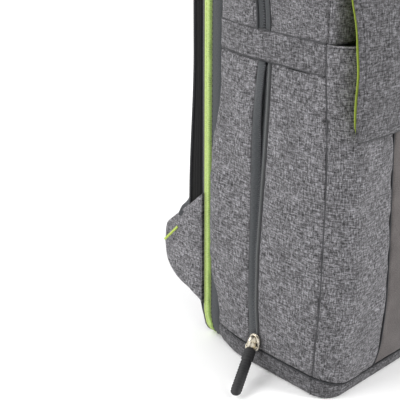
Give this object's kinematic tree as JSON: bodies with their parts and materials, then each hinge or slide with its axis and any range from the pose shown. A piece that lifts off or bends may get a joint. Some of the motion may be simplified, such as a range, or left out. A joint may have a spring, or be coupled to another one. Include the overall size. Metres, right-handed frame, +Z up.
{
  "type": "diaper bag",
  "caption": "Backpack style diaper bag in grey fabric with a zipped bottle pocket in each side, a flap over the front pocket and a zip off rear panel with shoulder straps.",
  "frame": {"origin": "centre of the base's underside, on the surface the bag stands on", "axes": "+X towards the bag's right side as seen from the front, -Y out of the front, +Z up"},
  "size_m": [0.3782, 0.2014, 0.449],
  "materials": {
    "heather_fabric": "grey melange woven polyester, matt, with light and dark flecks",
    "taupe_fabric": "smooth fine weave, matt",
    "charcoal_tape": "woven zip tape and binding, matt",
    "lime_fabric": "woven, matt, yellow green",
    "black_mesh": "knitted spacer mesh, matt",
    "webbing": "ribbed woven webbing, slight sheen",
    "inner_lining": "smooth lining with a slight sheen",
    "stiffener_board": "thin sheet, matt",
    "nickel_hardware": "nickel plated zinc, bright",
    "rubber_pull": "moulded, ribbed, satin",
    "buckle_plastic": "moulded, slight gloss"
  },
  "bodies": {
    "shell": {"base_pan": "heather_fabric", "base_board": "stiffener_board", "base_piping": "charcoal_tape", "rear_floor": "black_mesh", "side_panel_front_left": "heather_fabric", "side_panel_front_right": "heather_fabric", "side_panel_rear_left": "heather_fabric", "side_panel_rear_right": "heather_fabric", "bottle_zip_tape_front_left": "charcoal_tape", "bottle_zip_tape_front_right": "charcoal_tape", "bottle_zip_tape_rear_left": "charcoal_tape", "bottle_zip_tape_rear_right": "charcoal_tape", "side_band_left": "heather_fabric", "side_band_right": "heather_fabric", "bottle_pouch_left": "inner_lining", "bottle_pouch_right": "inner_lining", "upper_gusset_front": "heather_fabric", "upper_gusset_rear": "heather_fabric", "main_zip_tape_front": "charcoal_tape", "main_zip_tape_rear": "charcoal_tape", "front_body_panel": "heather_fabric", "pocket_wrap_left": "heather_fabric", "pocket_wrap_right": "heather_fabric", "pocket_centre_panel": "taupe_fabric", "pocket_piping_left": "charcoal_tape", "pocket_piping_right": "charcoal_tape", "snap_socket": "nickel_hardware", "rear_binding": "charcoal_tape", "rear_zip_tape_shell": "lime_fabric"},
    "flap": {"flap_cover": "heather_fabric", "flap_lining": "lime_fabric", "snap_stud": "nickel_hardware"},
    "handle": {"top_handle": "webbing"},
    "rear_panel": {"rear_zip_tape_panel": "lime_fabric", "rear_gusset": "black_mesh", "rear_cover": "heather_fabric", "rear_board": "stiffener_board", "rear_lining": "inner_lining", "back_pad_left": "black_mesh", "back_pad_right": "black_mesh", "shoulder_strap_left": "heather_fabric", "shoulder_strap_right": "heather_fabric", "ladder_lock_left": "buckle_plastic", "ladder_lock_right": "buckle_plastic", "strap_webbing_left": "webbing", "strap_webbing_right": "webbing", "strap_wing_left": "heather_fabric", "strap_wing_right": "heather_fabric"},
    "bottle_slider_left": {"bottle_zip_slider_left": "nickel_hardware"},
    "bottle_pull_left": {"bottle_zip_pull_left": "rubber_pull"},
    "main_slider_left": {"main_zip_slider_left": "nickel_hardware"},
    "main_pull_left": {"main_zip_pull_left": "rubber_pull"},
    "bottle_slider_right": {"bottle_zip_slider_right": "nickel_hardware"},
    "bottle_pull_right": {"bottle_zip_pull_right": "rubber_pull"},
    "main_slider_right": {"main_zip_slider_right": "nickel_hardware"},
    "main_pull_right": {"main_zip_pull_right": "rubber_pull"},
    "rear_slider": {"rear_zip_slider": "nickel_hardware"},
    "rear_pull": {"rear_zip_pull": "rubber_pull"}
  },
  "joints": [
    {"name": "flap_hinge", "type": "hinge", "parent": "shell", "child": "flap", "pos_m": [0, -0.0536, 0.372], "axis": [-1, 0, 0], "range_deg": [0, 170]},
    {"name": "rear_panel_hinge", "type": "hinge", "parent": "shell", "child": "rear_panel", "pos_m": [0, 0.0876, 0.003], "axis": [-1, 0, 0], "range_deg": [0, 72]},
    {"name": "handle_hinge", "type": "hinge", "parent": "shell", "child": "handle", "pos_m": [0, 0.038, 0.415], "axis": [1, 0, 0], "range_deg": [-60, 60]},
    {"name": "bottle_slider_left_travel", "type": "slide", "parent": "shell", "child": "bottle_slider_left", "axis": [0, 0, 1], "range_m": [0, 0.2]},
    {"name": "bottle_pull_left_swing", "type": "hinge", "parent": "bottle_slider_left", "child": "bottle_pull_left", "pos_m": [-0.152, 0.0095, 0.019], "axis": [-0.5492, 0.8357, 0], "range_deg": [0, 95]},
    {"name": "main_slider_left_travel", "type": "slide", "parent": "shell", "child": "main_slider_left", "axis": [-1, 0, 0], "range_m": [0, 0.07]},
    {"name": "main_pull_left_swing", "type": "hinge", "parent": "main_slider_left", "child": "main_pull_left", "pos_m": [-0.0105, 0.0144, 0.4156], "axis": [0, 1, 0], "range_deg": [0, 88]},
    {"name": "bottle_slider_right_travel", "type": "slide", "parent": "shell", "child": "bottle_slider_right", "axis": [0, 0, 1], "range_m": [0, 0.2]},
    {"name": "bottle_pull_right_swing", "type": "hinge", "parent": "bottle_slider_right", "child": "bottle_pull_right", "pos_m": [0.152, 0.0095, 0.019], "axis": [-0.5492, -0.8357, 0], "range_deg": [0, 95]},
    {"name": "main_slider_right_travel", "type": "slide", "parent": "shell", "child": "main_slider_right", "axis": [1, 0, 0], "range_m": [0, 0.07]},
    {"name": "main_pull_right_swing", "type": "hinge", "parent": "main_slider_right", "child": "main_pull_right", "pos_m": [0.0105, 0.0144, 0.4156], "axis": [0, -1, 0], "range_deg": [0, 88]},
    {"name": "rear_slider_travel", "type": "slide", "parent": "shell", "child": "rear_slider", "axis": [0, 0, 1], "range_m": [-0.12, 0.16]},
    {"name": "rear_pull_swing", "type": "hinge", "parent": "rear_slider", "child": "rear_pull", "pos_m": [0.1421, 0.06715, 0.175], "axis": [0, -1, 0], "range_deg": [0, 95]}
  ]
}
